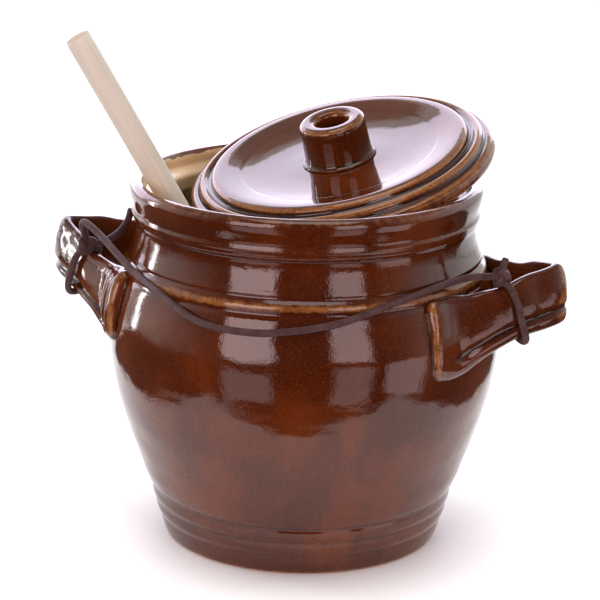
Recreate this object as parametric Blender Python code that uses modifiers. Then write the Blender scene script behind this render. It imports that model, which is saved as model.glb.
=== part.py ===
"""Lidded stoneware crock with two strap handles, a wooden dasher and a tie cord.

The crock stands on its flat foot at the origin, +Z up, and the front is towards -Y. The lid lies
askew in the mouth, and the dasher leans in the gap beside it. Everything is in metres.
"""

import math

import bmesh
import bpy
import numpy as np
from mathutils import Matrix, Vector

MM = 0.001
TOUCH_GAP = 0.3 * MM  # between pieces that meet

# Crock
LEDGE_RADIUS = 90.8 * MM  # inner edge of the ledge that the lid sits on
WALL_STEPS = 48

# Handles: half of each strap, from its root on the wall to its outer end. The columns are out from
# the crock's axis, sideways, up, half width and half thickness, in millimetres.
HANDLE_TURN = math.radians(-16.0)
STRAP_STEPS = 2  # sections to each row
STRAP_LEAN = 0.12  # how far the strap's top edge leans in, for each unit of height
RIGHT_STRAP = [
    (86.0, 60.0, 145.5, 25.5, 9.5),
    (97.0, 55.5, 146.0, 24.5, 8.5),
    (106.5, 47.5, 149.5, 20.5, 6.5),
    (118.0, 40.0, 153.5, 18.0, 5.5),
    (131.0, 29.0, 158.0, 17.0, 5.2),
    (143.5, 16.5, 162.5, 17.5, 5.2),
    (156.0, 0.0, 165.5, 17.5, 5.2),
]
RIGHT_STRAP_SLOPE = 0.0  # rise towards its +sideways root
LEFT_STRAP = [
    (86.0, 60.0, 150.5, 23.5, 10.5),
    (97.0, 55.5, 150.5, 23.0, 10.0),
    (106.5, 48.5, 152.0, 20.5, 7.5),
    (118.0, 40.0, 156.5, 17.0, 5.5),
    (131.0, 29.0, 161.0, 16.0, 5.2),
    (143.5, 16.5, 165.0, 16.5, 5.2),
    (156.5, 0.0, 167.5, 17.0, 5.2),
]
LEFT_STRAP_SLOPE = -0.06

# Lid: rings are measured from the plane under its outer band
LID_RADIUS = 94.2 * MM
LID_PLACE = Vector((22.4, 18.5, 219.4)) * MM
LID_TILT = math.radians(16.6)
LID_UPHILL = math.radians(39.5)
KNOB_RADIUS = 20.0 * MM
KNOB_BASE = 13.6 * MM
KNOB_TOP = 38.4 * MM
KNOB_HOLE_RADIUS = 9.5 * MM

# Dasher: a point on its axis at the rim's height, and the way it leans
ROD_RADIUS = 7.5 * MM
ROD_AT_RIM = Vector((-86.9, -14.6, 222.0)) * MM
ROD_LEAN = math.radians(29.3)
ROD_TOWARDS = math.radians(-170.0)
ROD_ABOVE_RIM = 100.0 * MM
PLATE_BELOW_RIM = 212.0 * MM
PLATE_RADIUS = 45.0 * MM
PLATE_THICKNESS = 12.0 * MM
PLATE_HOLES = 6
PLATE_HOLE_RADIUS = 7.0 * MM
PLATE_HOLE_CIRCLE = 29.0 * MM
TENON_RADIUS = 5.5 * MM
TENON_TAIL = 14.0 * MM  # what shows under the plate
PEG_RADIUS = 2.2 * MM
PEG_LENGTH = 24.0 * MM
PEG_SLACK = 0.4 * MM
DRILL_REACH = 10.0 * MM  # to each side of what is drilled

# Cord
CORD_RADIUS = 2.1 * MM
CORD_SIDES_RESOLUTION = 2
KNOT_RADIUS = 5.6 * MM
LEFT_KNOT = Vector((-132.2, 0.6, 177.8)) * MM
RIGHT_KNOT = Vector((114.0, -64.5, 180.0)) * MM
LOOP_STEPS = 24  # sections to each row, for placing a loop
LEFT_LOOP_AT = (8.25, 7.35)  # the rows that the loop crosses on top and underneath
RIGHT_LOOP_AT = (3.9, 4.6)
CORD_SPAN_ROUTE = [
    (-133.6, -0.6, 185.2),
    (-134.9, -3.2, 190.2),
    (-132.8, -8.2, 194.2),
    (-121.6, -21.0, 188.6),
    (-109.5, -38.5, 181.0),
    (-99.0, -53.0, 175.0),
    (-85.5, -74.5, 171.0),
    (-76.0, -86.0, 167.0),
    (-64.5, -97.0, 162.0),
    (-53.0, -104.0, 159.6),
    (-41.8, -108.8, 158.7),
    (-25.0, -114.0, 158.8),
    (-13.7, -115.4, 160.0),
    (2.3, -115.6, 162.0),
    (20.3, -113.0, 165.3),
    (29.8, -110.2, 168.0),
    (41.0, -105.5, 171.0),
    (52.0, -99.2, 173.8),
    (63.4, -91.0, 176.0),
    (75.0, -81.0, 178.0),
    (87.0, -71.0, 179.5),
    (98.0, -66.0, 180.6),
    (106.0, -64.9, 180.6),
]
LEFT_TAIL_ROUTE = [
    (-124.9, 2.2, 178.6),
    (-119.0, 3.5, 181.0),
    (-112.6, 5.0, 185.5),
    (-108.0, 6.0, 192.0),
    (-106.0, 6.5, 199.5),
]
RIGHT_TAIL_ROUTE = [
    (115.0, -60.3, 184.8),
    (115.9, -58.4, 187.0),
    (116.8, -56.8, 189.6),
]

GLAZE = (0.105, 0.028, 0.012)
WOOD = (0.62, 0.47, 0.31)
THONG = (0.075, 0.030, 0.022)


def clear_scene():
    for old in list(bpy.data.objects):
        bpy.data.objects.remove(old)


def collection(name):
    made = bpy.data.collections.new(name)
    bpy.context.scene.collection.children.link(made)
    return made


def material(name, colour, roughness):
    made = bpy.data.materials.new(name)
    made.use_nodes = True
    shader = made.node_tree.nodes["Principled BSDF"]
    shader.inputs["Base Color"].default_value = (*colour, 1.0)
    shader.inputs["Roughness"].default_value = roughness
    shader.inputs["Metallic"].default_value = 0.0
    return made


def place(name, data, group, matter=None):
    """A new object of this data in a collection, with its material."""
    made = bpy.data.objects.new(name, data)
    group.objects.link(made)
    if matter is not None:
        data.materials.append(matter)
    return made


def smooth(data, angle=35.0):
    data.shade_smooth()
    data.set_sharp_from_angle(angle=math.radians(angle))


def turned(name, outline, group, matter=None, steps=WALL_STEPS):
    """A piece turned about its Z axis, from an outline of (radius, height) in millimetres."""
    data = bpy.data.meshes.new(name)
    shape = bmesh.new()
    ring = [shape.verts.new((radius * MM, 0.0, height * MM)) for radius, height in outline]
    for first, second in zip(ring, ring[1:]):
        shape.edges.new((first, second))
    if outline[0][0] > 0.0:
        shape.edges.new((ring[-1], ring[0]))
    shape.to_mesh(data)
    shape.free()
    made = place(name, data, group, matter)
    screw = made.modifiers.new("turn", "SCREW")
    screw.axis = "Z"
    screw.steps = steps
    screw.render_steps = steps
    screw.use_merge_vertices = True
    screw.merge_threshold = 0.00001
    screw.use_smooth_shade = True
    return made


def cut(piece, cutter):
    """Takes the cutter's shape out of the piece."""
    change = piece.modifiers.new("cut", "BOOLEAN")
    change.operation = "DIFFERENCE"
    change.solver = "EXACT"
    change.object = cutter
    cutter.hide_render = True
    cutter.display_type = "WIRE"


def smooth_line(points, parts):
    """A smooth curve through the points, with this many steps from each to the next."""
    points = np.array(points, float)
    padded = np.vstack([points[:1], points, points[-1:]])
    line = []
    for before, here, there, after in zip(padded, padded[1:], padded[2:], padded[3:]):
        for t in np.arange(parts) / parts:
            line.append(
                here
                + (there - before) * t / 2.0
                + (2.0 * before - 5.0 * here + 4.0 * there - after) * t**2 / 2.0
                + (3.0 * here - before - 3.0 * there + after) * t**3 / 2.0
            )
    line.append(points[-1])
    return np.array(line)


def evenly_spaced(line, spacing):
    """The same line with points about this far apart."""
    walked = np.append(0.0, np.cumsum(np.linalg.norm(np.diff(line, axis=0), axis=1)))
    wanted = np.linspace(0.0, walked[-1], max(2, round(walked[-1] / spacing)) + 1)
    return np.column_stack([np.interp(wanted, walked, values) for values in line.T])


# Crock ------------------------------------------------------------------------------------------


def outer_wall():
    """The crock's outside, from the lip down to the foot, in millimetres."""
    lip = [(101.6, 222.4), (104.4, 221.6), (106.1, 219.2), (106.2, 216.4)]
    collar = [(105.2, 211.4), (104.4, 206.8), (105.2, 203.8), (104.6, 200.6), (102.4, 197.8)]
    shoulder = [(102.6, 192.5), (103.6, 186.8), (105.2, 181.6), (106.6, 176.4)]
    ring = [(108.8, 174.0), (110.2, 170.8), (110.2, 167.6)]
    belly = [(112.4, 164.0), (115.0, 155.0), (117.4, 143.0), (118.5, 130.0), (118.2, 118.0)]
    lower = [(116.3, 104.0), (113.0, 89.0), (108.6, 73.5), (103.4, 58.5), (98.0, 43.5)]
    foot_rings = [(94.6, 35.2), (91.9, 31.6), (92.1, 26.0), (89.6, 22.0)]
    foot_rings += [(89.4, 16.6), (87.0, 12.6), (86.4, 6.4), (84.4, 1.4), (82.5, 0.0)]
    return lip + collar + shoulder + ring + belly + lower + foot_rings


def inner_wall():
    """The crock's inside, from the middle of its floor up to the lip, in millimetres."""
    ledge = LEDGE_RADIUS / MM
    floor = [(0.0, 9.0), (60.0, 9.4), (72.0, 13.5), (80.5, 24.0)]
    side = [(91.5, 50.0), (101.0, 75.0), (107.5, 100.0), (110.6, 125.0), (109.4, 142.0)]
    neck = [(105.4, 160.0), (100.4, 176.0), (96.0, 189.0), (92.4, 197.4), (ledge, 200.4)]
    seat = [(ledge, 209.0), (92.0, 210.2), (96.8, 212.4), (97.8, 214.0), (98.2, 219.4)]
    return floor + side + neck + seat + [(99.4, 221.8)]


def make_crock(group, matter):
    return turned("crock_body", inner_wall() + outer_wall() + [(0.0, 0.0)], group, matter)


def make_wall_cutter(group):
    """A solid of the crock's outside, a touch larger, that shapes the handles' roots."""
    touch = TOUCH_GAP / MM
    outline = [(radius + touch, height) for radius, height in outer_wall()]
    outline = [(0.0, 223.0), (101.6, 223.0)] + outline + [(0.0, 0.0)]
    return turned("wall_cutter", outline, group)


# Handles ----------------------------------------------------------------------------------------


def strap_sections(rows, slope, turn, parts):
    """The strap's sections: middle, outward direction, half width and half thickness, in metres."""
    half = np.array(rows)
    near = half * (1.0, -1.0, 1.0, 1.0, 1.0)
    line = smooth_line(np.vstack([near, half[-2::-1]]), parts)
    line[:, 2] += slope * line[:, 1]
    spin = Matrix.Rotation(turn, 3, "Z")
    sections = []
    for row, along in zip(line, np.gradient(line, axis=0)):
        outward = Vector((along[1], -along[0], 0.0)).normalized()
        sections.append((spin @ Vector(row[:3]) * MM, spin @ outward, row[3] * MM, row[4] * MM))
    return sections


def slab_point(section, angle, room=0.0, squareness=0.8):
    """A point round the strap's section, a slab with rounded edges. At 90 degrees it is on top."""
    centre, outward, half_width, half_thickness = section
    out, up = math.cos(angle), math.sin(angle)
    out = (half_thickness + room) * math.copysign(abs(out) ** squareness, out)
    up = (half_width + room) * math.copysign(abs(up) ** squareness, up)
    return centre + outward * (out - STRAP_LEAN * up) + Vector((0.0, 0.0, up))


def make_handle(name, rows, slope, turn, cutter, group, matter):
    """A strap bent into a loop, lofted along its line, and trimmed to the crock's wall."""
    data = bpy.data.meshes.new(name)
    shape = bmesh.new()
    sides = 16
    rings = []
    for section in strap_sections(rows, slope, turn, STRAP_STEPS):
        angles = [2.0 * math.pi * k / sides for k in range(sides)]
        rings.append([shape.verts.new(slab_point(section, angle)) for angle in angles])
    for ring, following in zip(rings, rings[1:]):
        for k, corner in enumerate(ring):
            shape.faces.new((corner, following[k], following[k - 1], ring[k - 1]))
    shape.faces.new(rings[0])
    shape.faces.new(reversed(rings[-1]))
    bmesh.ops.recalc_face_normals(shape, faces=shape.faces)
    shape.to_mesh(data)
    shape.free()
    smooth(data)
    made = place(name, data, group, matter)
    cut(made, cutter)


# Lid --------------------------------------------------------------------------------------------


def lid_matrix():
    """Where the lid lies: turned up on its uphill side about a level line across it."""
    across = Vector((math.sin(LID_UPHILL), -math.cos(LID_UPHILL), 0.0))
    return Matrix.Translation(LID_PLACE) @ Matrix.Rotation(LID_TILT, 4, across)


def lid_outline():
    """The lid's section, from its centre hole over the top and back underneath."""
    hole, edge = KNOB_HOLE_RADIUS / MM, LID_RADIUS / MM
    dish = [(hole, 13.3), (24.0, 13.2), (45.0, 12.8), (62.0, 13.2), (70.0, 15.6), (74.5, 17.0)]
    ring_b = [(77.6, 16.8), (78.9, 15.6), (79.4, 13.2), (80.8, 12.4)]
    ring_a = [(84.0, 14.2), (86.4, 13.8), (87.4, 12.2), (87.8, 10.0), (89.2, 9.2)]
    band = [(91.8, 9.0), (93.6, 7.2), (edge, 4.8), (edge - 0.4, 2.4), (edge - 1.6, 1.0)]
    under = [(82.0, 1.0), (76.0, 4.6), (60.0, 6.6), (24.0, 6.0), (hole, 5.8)]
    return dish + ring_b + ring_a + band + under


def knob_outline():
    """The hollow knob's section, down its outside and up its bore."""
    hole, side = KNOB_HOLE_RADIUS / MM, KNOB_RADIUS / MM
    base, top = KNOB_BASE / MM, KNOB_TOP / MM
    outside = [(side - 2.4, top), (side - 0.6, top - 0.9), (side, top - 2.8), (side + 0.4, base + 3.0)]
    foot = [(side + 2.0, base + 0.8), (side + 2.2, base)]
    bore = [(hole, base), (hole, top - 2.0), (hole + 1.8, top)]
    return outside + foot + bore


def make_lid(group, matter):
    lid = turned("lid", lid_outline(), group, matter)
    lid.matrix_world = lid_matrix()
    knob = turned("lid_knob", knob_outline(), group, matter, steps=32)
    knob.parent = lid


# Dasher -----------------------------------------------------------------------------------------


def dasher_axis():
    flat = math.sin(ROD_LEAN)
    return Vector(
        (flat * math.cos(ROD_TOWARDS), flat * math.sin(ROD_TOWARDS), math.cos(ROD_LEAN))
    )


def dasher_matrix():
    """Where the dasher leans, with its origin at the middle of the plate."""
    up = dasher_axis()
    turn = Vector((0.0, 0.0, 1.0)).rotation_difference(up).to_matrix().to_4x4()
    return Matrix.Translation(ROD_AT_RIM - up * PLATE_BELOW_RIM) @ turn


def cylinder(name, radius, low, high, group, sides=24):
    """A plain upright cylinder between two heights."""
    data = bpy.data.meshes.new(name)
    shape = bmesh.new()
    middle = Matrix.Translation((0.0, 0.0, (low + high) / 2.0))
    bmesh.ops.create_cone(
        shape,
        cap_ends=True,
        segments=sides,
        radius1=radius,
        radius2=radius,
        depth=high - low,
        matrix=middle,
    )
    shape.to_mesh(data)
    shape.free()
    smooth(data)
    return place(name, data, group)


def make_dasher(group, cutters, matter):
    """A rod with a shouldered tenon, the plate on it and the peg that holds the plate."""
    origin = bpy.data.objects.new("dasher_origin", None)
    group.objects.link(origin)
    origin.matrix_world = dasher_matrix()

    rod, tenon = ROD_RADIUS / MM, TENON_RADIUS / MM
    top = (PLATE_BELOW_RIM + ROD_ABOVE_RIM) / MM
    shoulder = (PLATE_THICKNESS / 2.0 + TOUCH_GAP) / MM
    bottom = -(PLATE_THICKNESS / 2.0 + TENON_TAIL) / MM
    outline = [(0.0, top), (rod - 0.5, top), (rod, top - 0.5), (rod, shoulder), (tenon, shoulder)]
    outline += [(tenon, bottom + 1.0), (tenon - 1.0, bottom), (0.0, bottom)]
    stick = turned("dasher_rod", outline, group, matter, steps=24)
    stick.parent = origin

    edge, thick = PLATE_RADIUS / MM, PLATE_THICKNESS / 2.0 / MM
    plate = turned(
        "dasher_plate",
        [(0.0, thick), (edge - 1.5, thick), (edge, thick - 1.5)]
        + [(edge, 1.5 - thick), (edge - 1.5, -thick), (0.0, -thick)],
        group,
        matter,
        steps=32,
    )
    plate.parent = origin
    drill = cylinder("plate_drill_0", TENON_RADIUS + TOUCH_GAP, -DRILL_REACH, DRILL_REACH, cutters, 24)
    drill.parent = origin
    cut(plate, drill)
    for k in range(PLATE_HOLES):
        angle = 2.0 * math.pi * k / PLATE_HOLES
        drill = cylinder(f"plate_drill_{k + 1}", PLATE_HOLE_RADIUS, -DRILL_REACH, DRILL_REACH, cutters, 16)
        drill.parent = origin
        drill.location = (
            PLATE_HOLE_CIRCLE * math.cos(angle),
            PLATE_HOLE_CIRCLE * math.sin(angle),
            0.0,
        )
        cut(plate, drill)

    peg_below = PLATE_THICKNESS / 2.0 + TOUCH_GAP + PEG_RADIUS + PEG_SLACK
    across = Matrix.Translation((0.0, 0.0, -peg_below))
    across = across @ Matrix.Rotation(math.pi / 2.0, 4, "Y")
    peg = cylinder("dasher_peg", PEG_RADIUS, -PEG_LENGTH / 2.0, PEG_LENGTH / 2.0, group, 16)
    peg.data.materials.append(matter)
    hole = cylinder("peg_drill", PEG_RADIUS + TOUCH_GAP, -DRILL_REACH, DRILL_REACH, cutters, 16)
    for piece in (peg, hole):
        piece.parent = origin
        piece.matrix_local = across
    cut(stick, hole)


# Cord -------------------------------------------------------------------------------------------


def tube(name, points, group, matter):
    """A length of the cord along these points."""
    data = bpy.data.curves.new(name, "CURVE")
    data.dimensions = "3D"
    data.bevel_depth = CORD_RADIUS
    data.bevel_resolution = CORD_SIDES_RESOLUTION
    data.use_fill_caps = True
    line = data.splines.new("POLY")
    line.points.add(len(points) - 1)
    for target, point in zip(line.points, points):
        target.co = (*point, 1.0)
    return place(name, data, group, matter)


def free_length(name, route, group, matter, spacing=9.0 * MM):
    tube(name, evenly_spaced(smooth_line(route, 8) * MM, spacing), group, matter)


def loop_round_strap(name, sections, top_at, bottom_at, knot, group, matter):
    """The turn of cord round a strap, from the knot on its top edge and back to it."""
    room = CORD_RADIUS + 0.7 * MM
    points = []
    for angle in np.radians(np.linspace(80.0, -280.0, 37)):
        down = (1.0 - math.sin(angle)) / 2.0
        section = sections[round((top_at + (bottom_at - top_at) * down) * LOOP_STEPS)]
        point = slab_point(section, angle, room)
        if (point - knot).length > KNOT_RADIUS + CORD_RADIUS + 2.0 * TOUCH_GAP:
            points.append(point)
    tube(name, points, group, matter)


def make_knot(name, centre, group, matter):
    data = bpy.data.meshes.new(name)
    shape = bmesh.new()
    bmesh.ops.create_uvsphere(
        shape,
        u_segments=14,
        v_segments=9,
        radius=KNOT_RADIUS - TOUCH_GAP,
        matrix=Matrix.Translation(centre),
    )
    shape.to_mesh(data)
    shape.free()
    smooth(data)
    place(name, data, group, matter)


def make_cord(group, matter):
    make_knot("cord_left_knot", LEFT_KNOT, group, matter)
    make_knot("cord_right_knot", RIGHT_KNOT, group, matter)
    free_length("cord_span", CORD_SPAN_ROUTE, group, matter)
    free_length("cord_left_tail", LEFT_TAIL_ROUTE, group, matter, 5.0 * MM)
    free_length("cord_right_tail", RIGHT_TAIL_ROUTE, group, matter, 4.0 * MM)
    left = strap_sections(LEFT_STRAP, LEFT_STRAP_SLOPE, HANDLE_TURN + math.pi, LOOP_STEPS)
    right = strap_sections(RIGHT_STRAP, RIGHT_STRAP_SLOPE, HANDLE_TURN, LOOP_STEPS)
    loop_round_strap("cord_left_loop", left, *LEFT_LOOP_AT, LEFT_KNOT, group, matter)
    loop_round_strap("cord_right_loop", right, *RIGHT_LOOP_AT, RIGHT_KNOT, group, matter)


def main():
    clear_scene()
    group = collection("lidded_crock")
    cutters = collection("cutters")
    glaze = material("brown_glaze", GLAZE, 0.12)
    wood = material("bare_wood", WOOD, 0.7)
    thong = material("leather_thong", THONG, 0.6)

    make_crock(group, glaze)
    wall = make_wall_cutter(cutters)
    right, left = HANDLE_TURN, HANDLE_TURN + math.pi
    make_handle("handle_right", RIGHT_STRAP, RIGHT_STRAP_SLOPE, right, wall, group, glaze)
    make_handle("handle_left", LEFT_STRAP, LEFT_STRAP_SLOPE, left, wall, group, glaze)
    make_lid(group, glaze)
    make_dasher(group, cutters, wood)
    make_cord(group, thong)


main()
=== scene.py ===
"""Looks for the lidded stoneware crock: glazed clay, bare wood and a leather thong.

Turned pieces come from an outline of (radius, height) in millimetres. The glaze reads numbers kept
on each vertex: `thin` is above 0 on edges, where the glaze runs thin and turns amber, and below 0
in creases, where it pools and turns dark; in the crease where each handle meets the wall that dark
is also painted shade. `inside` is 1 on the crock's pale inner glaze, and `foot`
is 1 under its foot, where the clay is bare.
"""

import math

import bmesh
import bpy
import numpy as np
from mathutils import Matrix, Vector


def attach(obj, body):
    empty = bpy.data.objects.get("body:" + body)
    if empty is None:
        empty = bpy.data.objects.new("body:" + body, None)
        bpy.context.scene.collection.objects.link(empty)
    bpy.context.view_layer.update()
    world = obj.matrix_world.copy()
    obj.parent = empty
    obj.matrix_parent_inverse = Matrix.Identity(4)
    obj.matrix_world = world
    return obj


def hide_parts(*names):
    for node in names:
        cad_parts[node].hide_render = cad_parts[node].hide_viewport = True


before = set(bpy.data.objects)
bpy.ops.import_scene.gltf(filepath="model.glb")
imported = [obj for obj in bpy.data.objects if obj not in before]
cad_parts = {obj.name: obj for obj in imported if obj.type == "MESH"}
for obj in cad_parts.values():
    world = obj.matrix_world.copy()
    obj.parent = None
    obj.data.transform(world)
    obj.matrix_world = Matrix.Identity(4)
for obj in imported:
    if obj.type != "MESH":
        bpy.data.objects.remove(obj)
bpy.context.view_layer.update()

MM = 0.001

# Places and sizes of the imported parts. Outlines, sizes and routes are in millimetres.
LID_PLACE = Vector((22.4, 18.5, 219.4)) * MM
LID_TILT = math.radians(16.6)
LID_UPHILL = math.radians(39.5)  # the direction in which the lid rises
ROD_AT_RIM = Vector((-86.9, -14.6, 222.0)) * MM  # on the rod's axis, as high as the rim
ROD_LEAN = math.radians(29.3)
ROD_TOWARDS = math.radians(-170.0)  # the direction in which the rod leans
ROD_ABOVE_RIM = 100.0
ROD_RADIUS = 7.5
TENON_RADIUS = 5.5
TENON_BELOW_PLATE = 14.0
PLATE_BELOW_RIM = 212.0
PLATE_HALF = 6.0
PLATE_RADIUS = 45.0
PLATE_BORE_RADIUS = 5.9
HOLES = 6
HOLE_RADIUS = 7.0
HOLE_CIRCLE = 29.0
PEG_RADIUS = 2.2
PEG_HALF = 12.0
PEG_SLACK = 0.4
TOUCH_GAP = 0.3

# Handles: half of each strap, from its root on the wall to its outer end. The columns are out from
# the crock's axis, sideways, up, half width and half thickness.
HANDLE_TURN = math.radians(-16.0)
STRAP_LEAN = 0.12  # how far the strap's top edge leans in, for each unit of height
RIGHT_STRAP = [
    (86.0, 60.0, 145.5, 25.5, 9.5),
    (97.0, 55.5, 146.0, 24.5, 8.5),
    (106.5, 47.5, 149.5, 20.5, 6.5),
    (118.0, 40.0, 153.5, 18.0, 5.5),
    (131.0, 29.0, 158.0, 17.0, 5.2),
    (143.5, 16.5, 162.5, 17.5, 5.2),
    (156.0, 0.0, 165.5, 17.5, 5.2),
]
RIGHT_STRAP_SLOPE = 0.0  # rise towards its +sideways root
LEFT_STRAP = [
    (86.0, 60.0, 150.5, 23.5, 10.5),
    (97.0, 55.5, 150.5, 23.0, 10.0),
    (106.5, 48.5, 152.0, 20.5, 7.5),
    (118.0, 40.0, 156.5, 17.0, 5.5),
    (131.0, 29.0, 161.0, 16.0, 5.2),
    (143.5, 16.5, 165.0, 16.5, 5.2),
    (156.5, 0.0, 167.5, 17.0, 5.2),
]
LEFT_STRAP_SLOPE = -0.06
# The straps' ends as they are seen, pressed on to the wall, in place of their first rows
RIGHT_ROOT = [
    (95.5, 60.5, 147.3, 23.8, 9.0),
    (100.3, 54.0, 147.0, 24.2, 8.5),
    (107.5, 47.0, 148.0, 23.2, 7.2),
    (118.0, 39.5, 152.3, 19.6, 6.0),
]
LEFT_ROOT = [
    (95.5, 60.5, 153.0, 21.5, 10.5),
    (100.3, 54.5, 152.0, 21.5, 9.5),
    (106.5, 48.5, 152.5, 20.5, 7.5),
]
HANDLE_STEPS = 16  # sections to each row
HANDLE_SIDES = 80
ROOT_REACH = 7.0 * MM  # how far a root is rounded off
ROOT_CORNER = 11.0 * MM

# Cord
CORD_DIAMETER = 4.3 * MM
KNOT_SIZE = 1.6
LOOP_STEPS = 24  # sections to each row of a strap
LEFT_LOOP_AT = (8.25, 7.35)  # rows of the strap where the cord crosses its top and bottom edges
RIGHT_LOOP_AT = (3.9, 4.6)
LEFT_KNOT = (-132.2, 0.6, 177.8)
RIGHT_KNOT = (114.0, -64.5, 180.0)
CORD_SPAN_ROUTE = [
    (-133.6, -0.6, 185.2),
    (-134.9, -3.2, 190.2),
    (-132.8, -8.2, 194.2),
    (-121.6, -21.0, 188.6),
    (-109.5, -38.5, 181.0),
    (-99.0, -53.0, 175.0),
    (-85.5, -74.5, 171.0),
    (-76.0, -86.0, 167.0),
    (-64.5, -97.0, 162.0),
    (-53.0, -104.0, 159.6),
    (-41.8, -108.8, 158.7),
    (-25.0, -114.0, 158.8),
    (-13.7, -115.4, 160.0),
    (2.3, -115.6, 162.0),
    (20.3, -113.0, 165.3),
    (29.8, -110.2, 168.0),
    (41.0, -105.5, 171.0),
    (52.0, -99.2, 173.8),
    (63.4, -91.0, 176.0),
    (75.0, -81.0, 178.0),
    (87.0, -71.0, 179.5),
    (98.0, -66.0, 180.6),
    (106.0, -64.9, 180.6),
]
LEFT_TAIL_ROUTE = [
    (-124.9, 2.2, 178.6),
    (-119.0, 3.5, 181.0),
    (-112.6, 5.0, 185.5),
    (-108.0, 6.0, 192.0),
    (-106.0, 6.5, 199.5),
]
RIGHT_TAIL_ROUTE = [
    (115.0, -60.3, 184.8),
    (115.9, -58.4, 187.0),
    (116.8, -56.8, 189.6),
]

# How far an edge stands out where its glaze is at its thinnest
CROCK_EDGE, HANDLE_EDGE, LID_EDGE, KNOB_EDGE = 0.55, 0.75, 0.24, 0.28

# Right side of the table top in metres, front to back: narrow under the crock, wide behind it
TABLE_SIDE = [(0.27, -0.24), (0.28, 0.3), (1.8, 0.8), (1.8, 2.8)]


# Shaping ----------------------------------------------------------------------------------------


def smooth_line(points, parts):
    """A smooth curve through the points, with this many steps from each to the next."""
    points = np.array(points, float)
    padded = np.vstack([points[:1], points, points[-1:]])
    line = []
    for before, here, there, after in zip(padded, padded[1:], padded[2:], padded[3:]):
        for t in np.arange(parts) / parts:
            line.append(
                here
                + (there - before) * t / 2.0
                + (2.0 * before - 5.0 * here + 4.0 * there - after) * t**2 / 2.0
                + (3.0 * here - before - 3.0 * there + after) * t**3 / 2.0
            )
    line.append(points[-1])
    return np.array(line)


def resample(line, spacing):
    """The same line with points about this far apart."""
    line = np.array(line, float)
    walked = np.append(0.0, np.cumsum(np.linalg.norm(np.diff(line, axis=0), axis=1)))
    wanted = np.linspace(0.0, walked[-1], max(2, round(walked[-1] / spacing)) + 1)
    return np.column_stack([np.interp(wanted, walked, values) for values in line.T])


def soften(line, reach):
    """Rounds a finely spaced line's corners over this many points to each side."""
    weights = np.hanning(2 * reach + 3)[1:-1]
    weights /= weights.sum()
    padded = np.vstack([np.repeat(line[:1], reach, 0), line, np.repeat(line[-1:], reach, 0)])
    rounded = np.column_stack([np.convolve(values, weights, "valid") for values in padded.T])
    rounded[0], rounded[-1] = line[0], line[-1]
    return rounded


def add_object(name, data, matter=None):
    made = bpy.data.objects.new(name, data)
    bpy.context.scene.collection.objects.link(made)
    if matter is not None:
        data.materials.append(matter)
    return made


def grid_mesh(name, rings, closed_rings=False, caps=False, **numbers):
    """A mesh skinned over rings of points, each ring closed on itself, with numbers to keep."""
    rings = np.array(rings, float)
    count, sides = rings.shape[:2]
    data = bpy.data.meshes.new(name)
    index = np.arange(count * sides).reshape(count, sides)
    following = np.roll(index, -1, axis=0) if closed_rings else index[1:]
    current = index if closed_rings else index[:-1]
    quads = np.stack(
        [current, np.roll(current, -1, 1), np.roll(following, -1, 1), following], axis=-1
    )
    faces = quads.reshape(-1, 4).tolist()
    if caps:
        faces += [index[0][::-1].tolist(), index[-1].tolist()]
    data.from_pydata(rings.reshape(-1, 3).tolist(), [], faces)
    for key, values in numbers.items():
        vertex_numbers(data, key, values)
    shape = bmesh.new()
    shape.from_mesh(data)
    bmesh.ops.remove_doubles(shape, verts=shape.verts, dist=0.00001)
    bmesh.ops.recalc_face_normals(shape, faces=shape.faces)
    shape.to_mesh(data)
    shape.free()
    data.shade_smooth()
    return data


def bulge(outline, reach):
    """How far each point of an outline stands out from its smoothed course, in millimetres."""
    forward = np.gradient(outline, axis=0)
    forward /= np.linalg.norm(forward, axis=1)[:, None]
    after = np.roll(outline, -1, axis=0)
    turning = np.sign((outline[:, 0] * after[:, 1] - after[:, 0] * outline[:, 1]).sum())
    out = np.column_stack([forward[:, 1], -forward[:, 0]]) * turning
    return ((outline - soften(outline, reach)) * out).sum(1)


def turned_mesh(name, outline, sides, wobble=0.0, **numbers):
    """A turned shape, with the slight wandering of a thing thrown by hand.

    The numbers are one for each point of the outline, kept on the vertices turned from it.
    """
    outline = np.array(outline) * MM
    angles = np.linspace(0.0, 2.0 * math.pi, sides, endpoint=False)
    wander = wobble * (np.sin(2.0 * angles + 0.7) + 0.5 * np.sin(3.0 * angles + 2.1))
    radius = outline[:, :1] * (1.0 + wander)
    rings = np.stack(
        [radius * np.cos(angles), radius * np.sin(angles), np.repeat(outline[:, 1:], sides, 1)],
        axis=-1,
    )
    numbers = {key: np.repeat(values, sides) for key, values in numbers.items()}
    return grid_mesh(name, rings, closed_rings=bool(outline[0, 0] > 0.0), **numbers)


def vertex_numbers(data, name, values):
    """Keeps one number on each vertex for the material to read."""
    kept = data.attributes.new(name, "FLOAT", "POINT")
    kept.data.foreach_set("value", np.asarray(values, np.float32))


def vertex_places(data):
    places = np.empty(len(data.vertices) * 3)
    data.vertices.foreach_get("co", places)
    return places.reshape(-1, 3)


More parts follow.
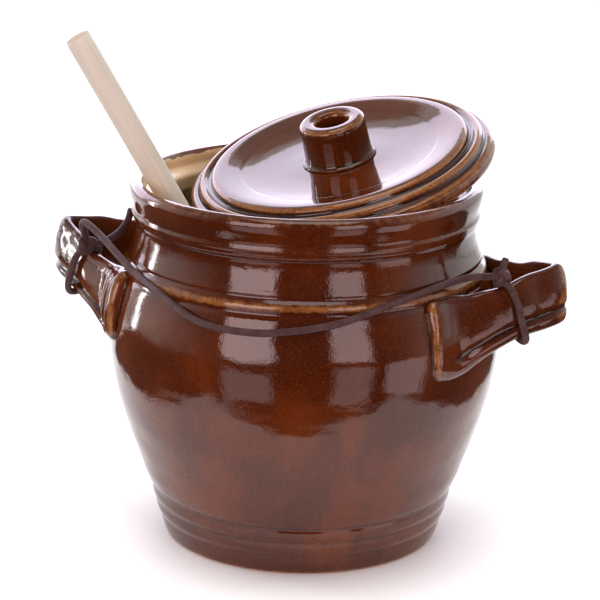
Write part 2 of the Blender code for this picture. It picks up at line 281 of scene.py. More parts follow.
def mark_edges_and_creases(data, passes, full, pooled_glaze_and_shade):
    """Keeps `thin` from how far smoothing would move each vertex, plus what is given as pooled
    glaze and painted shade.
    """
    places = vertex_places(data)
    ends = np.empty(len(data.edges) * 2, np.int64)
    data.edges.foreach_get("vertices", ends)
    first, second = ends.reshape(-1, 2).T
    near = np.bincount(np.concatenate([first, second]), minlength=len(places))
    near = np.maximum(near, 1)[:, None]
    settled = places.copy()
    for _ in range(passes):
        total = np.zeros_like(settled)
        for axis in range(3):
            total[:, axis] = np.bincount(
                np.concatenate([first, second]),
                weights=np.concatenate([settled[second, axis], settled[first, axis]]),
                minlength=len(places),
            )
        settled = 0.5 * settled + 0.5 * total / near
    normals = np.empty(len(places) * 3)
    data.vertex_normals.foreach_get("vector", normals)
    stands_out = ((places - settled) * normals.reshape(-1, 3)).sum(1)
    vertex_numbers(data, "thin", (stands_out - np.median(stands_out)) / full + pooled_glaze_and_shade)


# Materials --------------------------------------------------------------------------------------


class Nodes:
    """Short ways to lay out nodes."""

    def __init__(self, tree):
        self.tree = tree

    def add(self, kind, **settings):
        node = self.tree.nodes.new(kind)
        for key, value in settings.items():
            setattr(node, key, value)
        return node

    def link(self, source, target):
        self.tree.links.new(source, target)

    def feed(self, target, value):
        if isinstance(value, bpy.types.NodeSocket):
            self.link(value, target)
        else:
            target.default_value = value

    def number(self, name):
        return self.add("ShaderNodeAttribute", attribute_name=name).outputs["Fac"]

    def place(self, stretch=(1.0, 1.0, 1.0)):
        coordinates = self.add("ShaderNodeTexCoord")
        mapping = self.add("ShaderNodeMapping")
        mapping.inputs["Scale"].default_value = stretch
        self.link(coordinates.outputs["Object"], mapping.inputs["Vector"])
        return mapping.outputs["Vector"]

    def noise(self, scale, detail=3.0, stretch=(1.0, 1.0, 1.0), rough=0.5):
        node = self.add("ShaderNodeTexNoise")
        self.link(self.place(stretch), node.inputs["Vector"])
        node.inputs["Scale"].default_value = scale
        node.inputs["Detail"].default_value = detail
        node.inputs["Roughness"].default_value = rough
        return node.outputs["Fac"]

    def spread(self, value, low, high, to_low=0.0, to_high=1.0):
        node = self.add("ShaderNodeMapRange", interpolation_type="SMOOTHSTEP")
        self.feed(node.inputs["Value"], value)
        node.inputs["From Min"].default_value = low
        node.inputs["From Max"].default_value = high
        node.inputs["To Min"].default_value = to_low
        node.inputs["To Max"].default_value = to_high
        return node.outputs["Result"]

    def maths(self, operation, first, second):
        node = self.add("ShaderNodeMath", operation=operation)
        self.feed(node.inputs[0], first)
        self.feed(node.inputs[1], second)
        return node.outputs[0]

    def mix(self, amount, first, second):
        node = self.add("ShaderNodeMix", data_type="RGBA")
        self.feed(node.inputs["Factor"], amount)
        sockets = [socket for socket in node.inputs if socket.type == "RGBA"]
        for socket, colour in zip(sockets, (first, second)):
            given = isinstance(colour, bpy.types.NodeSocket)
            self.feed(socket, colour if given else (*colour, 1.0))
        return next(socket for socket in node.outputs if socket.type == "RGBA")

    def bump(self, height, depth, strength=1.0, after=None):
        node = self.add("ShaderNodeBump")
        node.inputs["Strength"].default_value = strength
        node.inputs["Distance"].default_value = depth
        self.link(height, node.inputs["Height"])
        if after is not None:
            self.link(after, node.inputs["Normal"])
        return node.outputs["Normal"]


class Surface(Nodes):
    """A material and its nodes."""

    def __init__(self, name):
        self.material = bpy.data.materials.new(name)
        self.material.use_nodes = True
        super().__init__(self.material.node_tree)
        self.shader = self.tree.nodes["Principled BSDF"]

    def finish(self, colour, roughness, normal=None):
        self.feed(self.shader.inputs["Base Color"], colour)
        self.feed(self.shader.inputs["Roughness"], roughness)
        if normal is not None:
            self.link(normal, self.shader.inputs["Normal"])
        return self.material


def glaze_colour(nodes):
    """Brown glaze: red-brown in the broad, near black where it pools and in the painted shade of
    the handles' creases, amber where it is thin.
    """
    thin = nodes.number("thin")
    clouds = nodes.noise(16.0, 4.0)
    runs = nodes.noise(34.0, stretch=(1.0, 1.0, 0.22))
    dark, light = (0.060, 0.0105, 0.0028), (0.124, 0.0250, 0.0048)
    brown = nodes.mix(nodes.spread(clouds, 0.38, 0.64), dark, light)
    brown = nodes.mix(nodes.spread(runs, 0.50, 0.68, 0.0, 0.6), brown, (0.044, 0.0085, 0.0036))
    patchy = nodes.maths("ADD", thin, nodes.spread(nodes.noise(260.0), 0.3, 0.7, -0.16, 0.16))
    # Near black where `thin` is below 0: pooled glaze in the creases, and also painted shade in the
    # crease under each handle
    pooled_glaze_and_shade = nodes.spread(nodes.maths("MULTIPLY", patchy, -1.0), 0.15, 0.9)
    brown = nodes.mix(pooled_glaze_and_shade, brown, (0.016, 0.0060, 0.0048))
    amber = nodes.mix(nodes.noise(420.0, 2.0), (0.25, 0.083, 0.018), (0.42, 0.19, 0.06))
    brown = nodes.mix(nodes.spread(patchy, 0.35, 1.1), brown, amber)
    flecks = nodes.spread(nodes.noise(1600.0, 2.0), 0.48, 0.70, 0.0, 0.5)
    brown = nodes.mix(flecks, brown, (0.19, 0.050, 0.012))
    pits = nodes.spread(nodes.noise(1200.0, 2.0), 0.50, 0.70, 0.0, 0.65)
    return nodes.mix(pits, brown, (0.028, 0.007, 0.0036))


def glaze_relief(nodes, wavy):
    """The slow waves of a thrown wall under glass-smooth glaze, and a faint orange peel."""
    waves = nodes.bump(nodes.noise(9.0, 2.0, stretch=(1.0, 1.0, 2.6)), 4.5 * MM, 0.55 * wavy)
    dimples = nodes.bump(nodes.noise(62.0, 2.0), 1.0 * MM, 0.30 * wavy, after=waves)
    return nodes.bump(nodes.noise(750.0), 0.16 * MM, 0.35 * wavy, after=dimples)


def glaze_gloss(nodes):
    """Nearly a mirror, a little duller in patches."""
    nodes.shader.inputs["IOR"].default_value = 1.5
    return nodes.spread(nodes.noise(48.0), 0.3, 0.7, 0.015, 0.055)


def brown_glaze(name, wavy):
    nodes = Surface(name)
    return nodes.finish(glaze_colour(nodes), glaze_gloss(nodes), glaze_relief(nodes, wavy))


def crock_glaze():
    """The brown glaze, with the pale glaze inside and the bare clay under the foot."""
    nodes = Surface("crock_glaze_fine")
    ragged = nodes.spread(nodes.noise(85.0, 5.0), 0.25, 0.75, -0.35, 0.35)
    inside = nodes.spread(nodes.maths("ADD", nodes.number("inside"), ragged), 0.40, 0.62)
    clouds = nodes.spread(nodes.noise(40.0, 4.0), 0.35, 0.68)
    tan = nodes.mix(clouds, (0.95, 0.66, 0.38), (0.78, 0.49, 0.25))
    iron_spots = nodes.spread(nodes.noise(210.0, 2.0), 0.69, 0.73)
    tan = nodes.mix(iron_spots, tan, (0.05, 0.018, 0.009))
    colour = nodes.mix(inside, glaze_colour(nodes), tan)
    bare = nodes.spread(nodes.maths("ADD", nodes.number("foot"), ragged), 0.45, 0.60)
    clay = nodes.mix(nodes.noise(300.0, 4.0), (0.40, 0.235, 0.135), (0.52, 0.33, 0.20))
    colour = nodes.mix(bare, colour, clay)
    dull = nodes.maths("ADD", glaze_gloss(nodes), nodes.spread(bare, 0.0, 1.0, 0.0, 0.75))
    roughness = nodes.maths("ADD", dull, nodes.spread(inside, 0.0, 1.0, 0.0, 0.10))
    return nodes.finish(colour, roughness, glaze_relief(nodes, 1.0))


def bare_wood():
    """Pale, plain wood with a faint straight grain along the piece."""
    nodes = Surface("bare_wood_fine")
    grain = nodes.noise(420.0, 5.0, stretch=(1.0, 1.0, 0.035), rough=0.6)
    bands = nodes.noise(120.0, stretch=(1.0, 1.0, 0.05))
    colour = nodes.mix(nodes.spread(bands, 0.3, 0.7), (0.74, 0.68, 0.565), (0.80, 0.76, 0.66))
    colour = nodes.mix(nodes.spread(grain, 0.52, 0.74, 0.0, 0.55), colour, (0.61, 0.51, 0.39))
    stains = nodes.noise(26.0, 4.0)
    colour = nodes.mix(nodes.spread(stains, 0.55, 0.8, 0.0, 0.35), colour, (0.64, 0.56, 0.46))
    return nodes.finish(colour, 0.62, nodes.bump(grain, 0.2 * MM, 0.5))


def end_grain():
    """The rod's sawn end: rings and a rougher cut."""
    nodes = Surface("bare_wood_sawn_end")
    rings = nodes.add("ShaderNodeTexWave", wave_type="RINGS", rings_direction="Z")
    nodes.link(nodes.place(), rings.inputs["Vector"])
    rings.inputs["Scale"].default_value = 190.0
    rings.inputs["Distortion"].default_value = 3.0
    saw = nodes.noise(900.0, stretch=(1.0, 0.2, 1.0))
    colour = nodes.mix(rings.outputs["Fac"], (0.50, 0.37, 0.24), (0.60, 0.47, 0.33))
    colour = nodes.mix(nodes.spread(saw, 0.5, 0.75, 0.0, 0.6), colour, (0.36, 0.25, 0.15))
    return nodes.finish(colour, 0.8, nodes.bump(saw, 0.4 * MM, 0.6))


def leather_thong():
    """Dark leather, ribbed on a slant by its twist, with painted shade in the grooves between the
    ribs, and paler where it is worn.
    """
    nodes = Surface("leather_thong_fine")
    rib_spacing, rib_slant = 0.95 * MM, 0.9 * MM
    twist = nodes.maths("MULTIPLY", nodes.number("around"), rib_slant)
    walked = nodes.maths("ADD", nodes.number("along"), twist)
    ribs = nodes.maths("SINE", nodes.maths("MULTIPLY", walked, 2.0 * math.pi / rib_spacing), 0.0)
    wear = nodes.noise(170.0, 4.0)
    colour = nodes.mix(nodes.spread(wear, 0.35, 0.7), (0.088, 0.039, 0.037), (0.140, 0.070, 0.066))
    # Painted shade: the grooves between the ribs are darkened towards near black
    colour = nodes.mix(nodes.spread(ribs, -1.0, 0.3, 0.6, 0.0), colour, (0.018, 0.007, 0.006))
    relief = nodes.bump(nodes.noise(1400.0, 4.0), 0.2 * MM, 0.5)
    relief = nodes.bump(ribs, 0.22 * MM, 0.8, after=relief)
    nodes.shader.inputs["Specular IOR Level"].default_value = 0.25
    nodes.shader.inputs["Sheen Weight"].default_value = 0.06
    nodes.shader.inputs["Sheen Roughness"].default_value = 0.4
    nodes.shader.inputs["Sheen Tint"].default_value = (0.85, 0.72, 0.72, 1.0)
    return nodes.finish(colour, 0.52, relief)


# Crock ------------------------------------------------------------------------------------------


def outer_wall():
    """The outside, from the lip down to the foot."""
    lip = [(101.0, 222.4), (103.6, 221.9), (105.6, 220.2), (106.3, 217.6), (106.0, 214.0)]
    lip += [(105.1, 210.6), (104.3, 207.2), (104.4, 205.2)]
    beads = [(105.2, 203.6), (104.9, 202.4), (104.1, 201.4), (104.5, 200.2), (103.9, 198.9)]
    beads += [(102.4, 197.6)]
    neck = [(102.2, 196.0), (102.5, 192.5), (103.3, 187.5), (105.0, 182.0), (106.5, 178.4)]
    ridge = [(106.2, 176.4), (107.8, 174.9), (109.6, 172.6), (110.0, 170.2), (109.4, 168.0)]
    ridge += [(110.4, 166.6)]
    belly = [(111.2, 165.6), (113.6, 158.6), (115.9, 149.6), (117.7, 140.0), (118.5, 130.0)]
    belly += [(118.3, 120.0), (116.9, 108.0), (114.4, 94.5), (110.6, 80.0), (105.6, 65.0)]
    belly += [(101.0, 52.6), (97.8, 43.0), (94.6, 35.6)]
    foot = [(91.7, 31.6), (92.3, 28.8), (92.0, 25.6), (89.7, 22.2), (90.1, 19.4), (89.4, 16.0)]
    foot += [(87.1, 12.6), (87.0, 10.0), (86.1, 6.0), (84.6, 1.6), (82.6, 0.0)]
    return np.vstack([lip, beads, smooth_line(neck, 6), ridge, smooth_line(belly, 6), foot])


def bowl():
    """The inside, from the middle of the floor up to just under the ledge."""
    floor = [(0.0, 9.0), (30.0, 9.0), (60.0, 9.6), (72.0, 13.5), (80.5, 24.0)]
    side = [(81.5, 26.0), (91.5, 50.0), (101.0, 75.0), (107.5, 100.0), (110.6, 125.0)]
    side += [(109.4, 142.0), (105.4, 160.0), (100.4, 176.0), (96.0, 189.0), (92.6, 197.6)]
    return np.vstack([smooth_line(floor, 6), smooth_line(side, 6)])


# The ledge for the lid and the wall above it, up to the lip
SEAT = [(90.9, 200.6), (90.8, 209.0), (91.8, 210.4), (96.6, 212.6), (97.7, 214.0), (97.9, 218.6)]
SEAT += [(98.8, 221.2)]
LIP_HEIGHT, LIP_MIDDLE = 221.6, 101.0
THINNEST_WALL = 3.5
BARE_BELOW = 1.6  # the height up to which the clay is bare
WALL_UPWARD = soften(resample(outer_wall(), 0.7), 2)[::-1]


def wall_radius(height):
    """The outside's radius at a height, both in millimetres."""
    return np.interp(height, WALL_UPWARD[:, 1], WALL_UPWARD[:, 0])


def make_crock(matter):
    shown = resample(np.vstack([SEAT, outer_wall()]), spacing=0.75)
    under = resample([(79.0, 0.0), (0.0, 0.0)], spacing=4.0)
    outline = soften(np.vstack([resample(bowl(), spacing=2.2), shown, under]), 2)
    radius, height = outline.T
    inner = np.minimum(wall_radius(height) - THINNEST_WALL, LIP_MIDDLE)
    within = (radius < inner) & (height > 4.0)  # above the underside
    worn_ridge = 0.5 * np.exp(-(((height - 171.5) / 4.2) ** 2))
    data = turned_mesh(
        "crock_fine",
        outline,
        sides=192,
        wobble=0.0012,
        thin=bulge(outline, 5) / CROCK_EDGE + np.where(within, 0.0, worn_ridge),
        inside=np.where(within, np.clip((LIP_HEIGHT - height) / 2.6, 0.0, 1.0), 0.0),
        foot=np.clip((BARE_BELOW - height) / BARE_BELOW, 0.0, 1.0),
    )
    crock = add_object("crock_fine", data, matter)
    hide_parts("crock_body")
    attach(crock, "crock")


# Handles ----------------------------------------------------------------------------------------


def strap_sections(rows, slope, turn, parts):
    """The strap's sections as part of the crock: middle, outward way, half width and thickness."""
    half = np.array(rows)
    near = half * (1.0, -1.0, 1.0, 1.0, 1.0)
    line = smooth_line(np.vstack([near, half[-2::-1]]), parts)
    line[:, 2] += slope * line[:, 1]
    spin = Matrix.Rotation(turn, 3, "Z")
    sections = []
    for row, along in zip(line, np.gradient(line, axis=0)):
        outward = Vector((along[1], -along[0], 0.0)).normalized()
        sections.append((spin @ Vector(row[:3]) * MM, spin @ outward, row[3] * MM, row[4] * MM))
    return sections


def rounded_root(sections):
    """Sections that round off the strap's first end, from the tip inwards."""
    centre, outward, half_width, half_thickness = sections[0]
    away = outward.cross(Vector((0.0, 0.0, 1.0)))
    if away.dot(sections[1][0] - centre) > 0.0:
        away = -away
    tip = []
    for t in (1.0, 0.98, 0.94, 0.88, 0.8, 0.7, 0.58, 0.44, 0.28, 0.12):
        width = half_width - ROOT_CORNER * (1.0 - math.sqrt(1.0 - t * t))
        thickness = half_thickness * max(0.12, math.sqrt(1.0 - t**4))
        tip.append((centre + away * (t * ROOT_REACH), outward, width, thickness))
    return tip


def slab_point(section, angle, room=0.0, squareness=0.8):
    """A point round the strap's section, a slab with rounded edges. At 90 degrees it is on top."""
    centre, outward, half_width, half_thickness = section
    out, up = math.cos(angle), math.sin(angle)
    out = (half_thickness + room) * math.copysign(abs(out) ** squareness, out)
    up = (half_width + room) * math.copysign(abs(up) ** squareness, up)
    return centre + outward * (out - STRAP_LEAN * up) + Vector((0.0, 0.0, up))


def make_handle(side, rows, slope, turn, furrows, fluting, matter):
    """A pulled strap with furrows along its outer face, pressed on to the wall at both ends.

    Each furrow is its place across the strap, from -1 to 1, its width and its depth.
    """
    name = f"handle_{side}_fine"
    middle = strap_sections(rows, slope, turn, HANDLE_STEPS)
    first, last = rounded_root(middle), rounded_root(middle[::-1])
    rings = []
    for k, section in enumerate(first + middle + last[::-1]):
        outward = section[1]
        walk = (k - len(first)) / HANDLE_STEPS  # in rows of the strap
        from_root = min(walk, (len(middle) - 1) / HANDLE_STEPS - walk)
        free = min(1.0, max(0.0, from_root / 2.5))
        flutes = fluting * math.sin(7.0 * from_root) * math.exp(-((from_root - 1.2) ** 2))
        ring = []
        for angle in np.linspace(0.0, 2.0 * math.pi, HANDLE_SIDES, endpoint=False):
            height = math.sin(angle)
            outside = max(0.0, math.cos(angle)) ** 0.5
            push = flutes * (1.0 - height * height)
            for place, width, depth in furrows:
                push -= depth * free * math.exp(-(((height - place) / width) ** 2))
            push += 0.35 * math.sin(3.1 * walk + 2.0 * height) * free
            point = slab_point(section, angle, squareness=0.78) + outward * (push * outside * MM)
            ragged = 0.3 * math.sin(4.3 * walk + 0.6) * abs(height) * free
            ring.append(point + Vector((0.0, 0.0, ragged * MM)))
        rings.append(ring)
    data = grid_mesh(name, rings, caps=True)
    bury_in_wall(data, 2.5)
    places = vertex_places(data) / MM
    proud = np.hypot(places[:, 0], places[:, 1]) - wall_radius(places[:, 2])
    # Painted shade together with pooled glaze: a dark line in the crease where the strap meets the
    # wall
    pooled_glaze_and_shade = -1.6 * np.exp(-((proud / 1.6) ** 2))  # in the crease where the strap meets the wall
    mark_edges_and_creases(data, 24, HANDLE_EDGE * MM, pooled_glaze_and_shade)
    handle = add_object(name, data, matter)
    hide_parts(f"handle_{side}")
    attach(handle, "crock")


def bury_in_wall(data, depth):
    """Brings what would reach deeper into the crock's wall than this back to that depth."""
    places = vertex_places(data) / MM
    radius = np.hypot(places[:, 0], places[:, 1])
    wanted = np.maximum(radius, wall_radius(places[:, 2]) - depth)
    places[:, :2] *= (wanted / radius)[:, None]
    data.vertices.foreach_set("co", (places * MM).ravel())
    data.update()


# Lid --------------------------------------------------------------------------------------------


def lid_matrix():
    across = Vector((math.sin(LID_UPHILL), -math.cos(LID_UPHILL), 0.0))
    return Matrix.Translation(LID_PLACE) @ Matrix.Rotation(LID_TILT, 4, across)


def lid_outline():
    """The lid's section, from its centre hole over the top and back underneath."""
    dish = [(9.5, 12.6), (22.0, 12.5), (33.0, 12.3), (43.0, 12.7), (52.0, 13.5), (60.0, 14.7)]
    slope = [(61.5, 15.2), (66.0, 16.1), (70.0, 16.8), (72.5, 17.1)]
    inner_ring = [(74.5, 17.2), (77.2, 17.0), (78.8, 15.8), (79.3, 13.4), (80.6, 12.5)]
    outer_ring = [(82.0, 12.9), (84.0, 14.3), (86.0, 14.1), (87.3, 12.6), (87.7, 10.4)]
    outer_ring += [(88.7, 9.4), (90.2, 9.7)]
    band = [(92.2, 9.0), (93.7, 7.2), (94.2, 4.8), (93.9, 2.6), (92.9, 1.2), (91.4, 1.0)]
    under = [(82.0, 1.0), (76.0, 4.6), (60.0, 6.6), (24.0, 6.0), (9.5, 5.8)]
    top = [smooth_line(dish, 6), slope, inner_ring, outer_ring]
    return np.vstack(top + [band, smooth_line(under, 5)])


def knob_outline():
    """The hollow knob, from the fillet at its foot round its top and down its bore."""
    foot = [(22.6, 13.1), (22.1, 14.0), (21.0, 14.5), (20.5, 15.6), (20.3, 18.0)]
    side = [(20.0, 26.0), (19.9, 34.0), (19.6, 36.6), (18.2, 38.0), (16.4, 38.5)]
    mouth = [(13.2, 38.3), (11.2, 37.6), (9.9, 35.8), (9.5, 32.0), (9.5, 13.1)]
    return np.vstack([foot, side, mouth])


def make_lid(matter):
    outline = soften(resample(lid_outline(), spacing=0.6), 1)
    thin = bulge(outline, 5) / LID_EDGE
    data = turned_mesh("lid_fine", outline, sides=240, wobble=0.0006, thin=thin)
    lid = add_object("lid_fine", data, matter)
    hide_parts("lid")
    outline = soften(resample(knob_outline(), spacing=0.5), 1)
    thin = bulge(outline, 6) / KNOB_EDGE
    data = turned_mesh("knob_fine", outline, sides=120, wobble=0.004, thin=thin)
    knob = add_object("knob_fine", data, matter)
    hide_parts("lid_knob")
    for piece in (lid, knob):
        piece.matrix_world = lid_matrix()
        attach(piece, "lid")


# Dasher -----------------------------------------------------------------------------------------


def dasher_matrix():
    flat = math.sin(ROD_LEAN)
    up = Vector((flat * math.cos(ROD_TOWARDS), flat * math.sin(ROD_TOWARDS), math.cos(ROD_LEAN)))
    turn = Vector((0.0, 0.0, 1.0)).rotation_difference(up).to_matrix().to_4x4()
    return Matrix.Translation(ROD_AT_RIM - up * PLATE_BELOW_RIM * MM) @ turn


def make_rod(wood, sawn):
    """The rod: a little out of round, sawn off above, with a tenon for the plate below."""
    top = PLATE_BELOW_RIM + ROD_ABOVE_RIM
    shoulder = PLATE_HALF + TOUCH_GAP
    bottom = -(PLATE_HALF + TENON_BELOW_PLATE)
    outline = [(0.0, top), (ROD_RADIUS - 0.5, top), (ROD_RADIUS, top - 0.6)]
    # Even rings down the rod, so that its long side isn't made of slivers
    outline += [(ROD_RADIUS, top - 8.0 * k) for k in range(1, 37)]
    outline += [(ROD_RADIUS, shoulder), (TENON_RADIUS, shoulder), (TENON_RADIUS, bottom + 1.0)]
    outline += [(TENON_RADIUS - 1.0, bottom), (0.0, bottom)]
    data = turned_mesh("rod_fine", outline, sides=48, wobble=0.006)
    data.set_sharp_from_angle(angle=math.radians(40.0))
    rod = add_object("rod_fine", data, wood)
    data.materials.append(sawn)
    for face in data.polygons:
        if abs(face.normal.z) > 0.9:
            face.material_index = 1
    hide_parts("dasher_rod")
    return rod


def make_plate(wood):
    """The plate: a turned disc with a rounded edge and six bored holes."""
    half, rim = PLATE_HALF, PLATE_RADIUS
    above = [(PLATE_BORE_RADIUS, half), (rim - 7.0, half), (rim - 3.5, half - 0.3)]
    above += [(rim - 1.0, half - 1.7), (rim, half - 4.0)]
    outline = above + [(radius, -height) for radius, height in above[::-1]]
    outline = soften(resample(outline, spacing=1.0), 1)
    plate = add_object("plate_fine", turned_mesh("plate_fine", outline, sides=96), wood)
    for angle in np.arange(HOLES) * 2.0 * math.pi / HOLES:
        drill = bmesh.new()
        place = Vector((math.cos(angle), math.sin(angle), 0.0)) * HOLE_CIRCLE * MM
        bmesh.ops.create_cone(
            drill,
            cap_ends=True,
            segments=40,
            radius1=HOLE_RADIUS * MM,
            radius2=HOLE_RADIUS * MM,
            depth=20.0 * MM,
            matrix=Matrix.Translation(place),
        )
        data = bpy.data.meshes.new("drill")
        drill.to_mesh(data)
        drill.free()
        cut_by(plate, data)
    plate.data.set_sharp_from_angle(angle=math.radians(35.0))
    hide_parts("dasher_plate")
    return plate


def cut_by(piece, cutter_data):
    """Takes a shape out of a piece for good."""
    cutter = add_object("cutter", cutter_data)
    change = piece.modifiers.new("cut", "BOOLEAN")
    change.solver = "EXACT"
    change.object = cutter
    bpy.context.view_layer.update()
    changed = piece.evaluated_get(bpy.context.evaluated_depsgraph_get())
    done = bpy.data.meshes.new_from_object(changed)
    piece.modifiers.clear()
    piece.data = done
    bpy.data.objects.remove(cutter)


def make_peg(wood):
    """The peg through the tenon: a whittled pin, thicker at one end."""
    outline = [(0.0, -PEG_HALF), (1.7, -PEG_HALF), (2.0, 0.6 - PEG_HALF), (2.1, -4.0)]
    outline += [(PEG_RADIUS, PEG_HALF - 1.0), (1.9, PEG_HALF), (0.0, PEG_HALF)]
    data = turned_mesh("peg_fine", resample(outline, spacing=1.0), sides=24, wobble=0.01)
    peg = add_object("peg_fine", data, wood)
    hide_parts("dasher_peg")
    return peg


def make_dasher(wood, sawn):
    rod, plate, peg = make_rod(wood, sawn), make_plate(wood), make_peg(wood)
    peg_drop = PLATE_HALF + TOUCH_GAP + PEG_RADIUS + PEG_SLACK
    across = Matrix.Translation((0.0, 0.0, -peg_drop * MM))
    across = across @ Matrix.Rotation(math.pi / 2.0, 4, "Y")
    for piece, place in ((rod, Matrix()), (plate, Matrix()), (peg, across)):
        piece.matrix_world = dasher_matrix() @ place
        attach(piece, "dasher")


# Cord -------------------------------------------------------------------------------------------


def tube_mesh(name, path, radius, sides=14, closed=False):
    """A round tube along a path, with how far along and around it each vertex is."""
    path = [Vector(point) for point in path]
    count = len(path)
    normal, rings, along, walked = None, [], [], 0.0
    for k, point in enumerate(path):
        before = path[(k - 1) % count] if closed else path[max(k - 1, 0)]
        after = path[(k + 1) % count] if closed else path[min(k + 1, count - 1)]
        tangent = (after - before).normalized()
        if normal is None:
            normal = tangent.orthogonal().normalized()
        normal = (normal - tangent * normal.dot(tangent)).normalized()
        across = tangent.cross(normal)
        walked += (point - path[max(k - 1, 0)]).length
        end = min(k, count - 1 - k)
        size = radius if closed or end > 0 else 0.86 * radius
        ring = []
        for side in range(sides):
            angle = 2.0 * math.pi * side / sides
            ring.append(point + (normal * math.cos(angle) + across * math.sin(angle)) * size)
        rings.append(ring)
        along.append(walked)
    around = np.tile(np.arange(sides) * 2.0 * math.pi / sides, count)
    along = np.repeat(along, sides)
    return grid_mesh(name, rings, closed_rings=closed, caps=not closed, along=along, around=around)


def loop_points(sections, top_at, bottom_at):
    """The turn of cord round a strap, down its outer face and up behind it."""
    room = CORD_DIAMETER / 2.0 + 0.7 * MM
    points = []
    for angle in np.radians(np.linspace(62.0, -262.0, 44))[::3]:
        down = (1.0 - math.sin(angle)) / 2.0
        section = sections[round((top_at + (bottom_at - top_at) * down) * LOOP_STEPS)]
        points.append(slab_point(section, angle, room))
    return [tuple(point / MM) for point in points]


def cord_path():
    """The whole thong: left tail, knot, turn round the handle, span, turn, knot and right tail."""
    left = strap_sections(LEFT_STRAP, LEFT_STRAP_SLOPE, HANDLE_TURN + math.pi, LOOP_STEPS)
    right = strap_sections(RIGHT_STRAP, RIGHT_STRAP_SLOPE, HANDLE_TURN, LOOP_STEPS)
    route = LEFT_TAIL_ROUTE[::-1] + [LEFT_KNOT]
    route += loop_points(left, *LEFT_LOOP_AT) + [LEFT_KNOT]
    route += CORD_SPAN_ROUTE + [RIGHT_KNOT]
    route += loop_points(right, *RIGHT_LOOP_AT) + [RIGHT_KNOT]
    route += RIGHT_TAIL_ROUTE
    line = resample(smooth_line(route, 10), spacing=1.0)
    return soften(line, 3) * MM


def knot_mesh(name, centre, lean):
    """A pulled overhand knot: a tube that passes round and through itself."""
    turns = np.linspace(0.0, 2.0 * math.pi, 90, endpoint=False)
    spread = 1.9 + np.cos(3.0 * turns)
    shape = [spread * np.cos(2.0 * turns), spread * np.sin(2.0 * turns), 1.15 * np.sin(3.0 * turns)]
    path = (np.column_stack(shape) @ np.array(lean).T) * KNOT_SIZE + np.array(centre)
    return tube_mesh(name, path * MM, CORD_DIAMETER / 2.0, closed=True)


def make_cord(matter):
    path = cord_path()
    cord = add_object("cord_fine", tube_mesh("cord_fine", path, CORD_DIAMETER / 2.0), matter)
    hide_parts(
        "cord_span",
        "cord_left_tail",
        "cord_left_loop",
        "cord_right_loop",
        "cord_right_tail",
    )
    knots = []
    lying = [("left", LEFT_KNOT, 70.0, 20.0), ("right", RIGHT_KNOT, 65.0, -40.0)]
    for side, centre, tip, turn in lying:
        lean = Matrix.Rotation(math.radians(turn), 3, "Z")
        lean = lean @ Matrix.Rotation(math.radians(tip), 3, "X")
        name = f"knot_{side}_fine"
        knot = add_object(name, knot_mesh(name, centre, lean), matter)
        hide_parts(f"cord_{side}_knot")
        knots.append(knot)
    for piece in [cord] + knots:
        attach(piece, "crock")


# Stage ------------------------------------------------------------------------------------------


def make_floor():
    data = bpy.data.meshes.new("floor")
    corners = TABLE_SIDE + [(-x, y) for x, y in TABLE_SIDE[::-1]]
    data.from_pydata([(*corner, 0.0) for corner in corners], [], [list(range(len(corners)))])
    pale = Surface("pale_floor").finish((0.90, 0.90, 0.905, 1.0), 0.7)
    floor = add_object("floor", data, pale)
    return floor


def light_panel(name, place, target, width, height, radiance, tint=(1.0, 1.0, 1.0)):
    """A flat softbox that faces its target and shows this bright in a mirror."""
    lamp = bpy.data.lights.new(name, "AREA")
    lamp.shape = "RECTANGLE"
    lamp.size, lamp.size_y = width, height
    lamp.energy = radiance * math.pi * width * height
    lamp.color = tint
    panel = add_object(name, lamp)
    panel.location = place
    aim = Vector(target) - Vector(place)
    panel.rotation_euler = aim.to_track_quat("-Z", "Y").to_euler()
    panel.visible_camera = False
    return panel


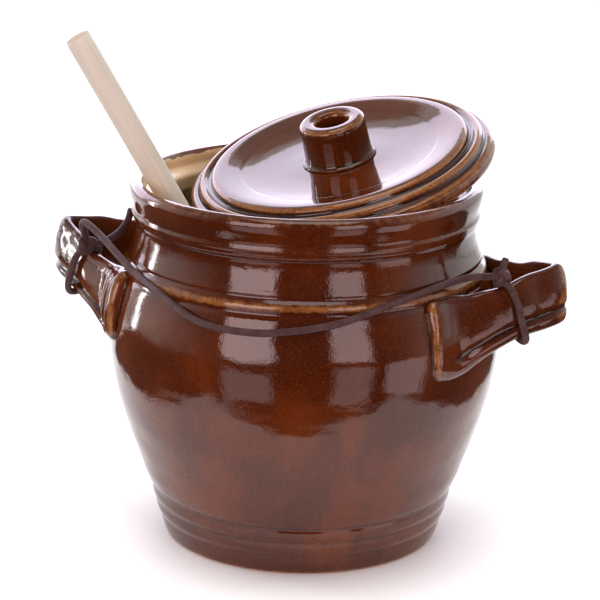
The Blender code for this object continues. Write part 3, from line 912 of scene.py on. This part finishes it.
def make_studio(floor):
    """A white room, dark in front where the photographer stands and below, with softboxes."""
    world = bpy.data.worlds.new("studio")
    bpy.context.scene.world = world
    world.use_nodes = True
    nodes = Nodes(world.node_tree)
    towards = nodes.add("ShaderNodeSeparateXYZ")
    nodes.link(nodes.add("ShaderNodeTexCoord").outputs["Generated"], towards.inputs[0])
    front = nodes.spread(towards.outputs["Y"], -0.75, 0.35, 0.03, 1.3)
    high = nodes.spread(towards.outputs["Z"], 0.62, 0.67, 1.0, 0.35)
    low = nodes.spread(towards.outputs["Z"], -0.16, -0.02, 0.06, 1.0)
    room = nodes.maths("MULTIPLY", nodes.maths("MULTIPLY", front, high), low)
    backdrop = nodes.add("ShaderNodeLightPath").outputs["Is Camera Ray"]
    background = world.node_tree.nodes["Background"]
    nodes.link(nodes.maths("MAXIMUM", room, backdrop), background.inputs["Strength"])
    background.inputs["Color"].default_value = (1.0, 1.0, 1.0, 1.0)

    middle = (0.0, 0.0, 0.12)
    pink, lavender = (1.0, 0.79, 0.81), (0.85, 0.75, 1.0)
    light_panel("front_left", (-0.63, -1.02, 0.47), (-0.1, 0.0, 0.47), 0.62, 0.66, 5.3, pink)
    light_panel("front_right", (0.53, -1.05, 0.47), (0.1, 0.0, 0.47), 0.46, 0.66, 3.7, pink)
    light_panel("low_left", (-0.63, -1.02, -0.26), (-0.1, 0.0, -0.26), 0.62, 0.54, 1.5, pink)
    light_panel("low_right", (0.53, -1.05, -0.26), (0.1, 0.0, -0.26), 0.46, 0.54, 1.5, pink)
    light_panel("low_side", (1.03, -0.62, -0.15), (0.13, -0.06, 0.15), 0.5, 0.45, 2.2, pink)
    light_panel("far_left", (-1.11, 0.45, 0.27), middle, 0.09, 0.5, 16.0)
    behind = light_panel("behind", (-0.25, 1.1, 0.53), middle, 2.2, 0.875, 3.4, lavender)
    behind.visible_diffuse = False
    light_panel("top", (0.0, -0.3, 1.5), middle, 0.9, 0.9, 2.6)
    wash = light_panel("floor_wash", (0.0, 1.5, 2.5), (0.0, 1.5, 0.0), 5.0, 4.0, 1.4)
    wash.visible_glossy = False
    only_floor = bpy.data.collections.new("only_floor")
    only_floor.objects.link(floor)
    wash.light_linking.receiver_collection = only_floor


def make_camera():
    """The photograph's view: from a little above, at 1.5 m, and rolled by a degree."""
    distance, above, roll = 1.5, math.radians(16.3), math.radians(1.05)
    target = Vector((-2.7, 0.0, 145.5)) * MM
    forward = Vector((0.0, math.cos(above), -math.sin(above)))
    up = Vector((0.0, math.sin(above), math.cos(above)))
    side = Vector((1.0, 0.0, 0.0))
    right = side * math.cos(roll) + up * math.sin(roll)
    upright = up * math.cos(roll) - side * math.sin(roll)
    view = bpy.data.cameras.new("view")
    view.sensor_width = 36.0
    view.lens = 147.6
    camera = add_object("view", view)
    camera.matrix_world = Matrix.Translation(target - forward * distance) @ (
        Matrix((right, upright, -forward)).transposed().to_4x4()
    )
    bpy.context.scene.camera = camera
    bpy.context.scene.view_settings.view_transform = "Standard"


def main():
    glaze = brown_glaze("handle_glaze_fine", 1.0)
    wood = bare_wood()
    make_camera()
    make_cord(leather_thong())
    make_crock(crock_glaze())
    left, right = HANDLE_TURN + math.pi, HANDLE_TURN
    furrows = [(-0.34, 0.15, 1.5)]
    rows = RIGHT_ROOT + RIGHT_STRAP[4:]
    make_handle("right", rows, RIGHT_STRAP_SLOPE, right, furrows, 0.1, glaze)
    furrows = [(-0.46, 0.13, 2.8), (0.5, 0.2, 0.8)]
    rows = LEFT_ROOT + LEFT_STRAP[3:]
    make_handle("left", rows, LEFT_STRAP_SLOPE, left, furrows, 0.9, glaze)
    make_lid(brown_glaze("lid_glaze_fine", 0.18))
    make_dasher(wood, end_grain())
    make_studio(make_floor())


main()
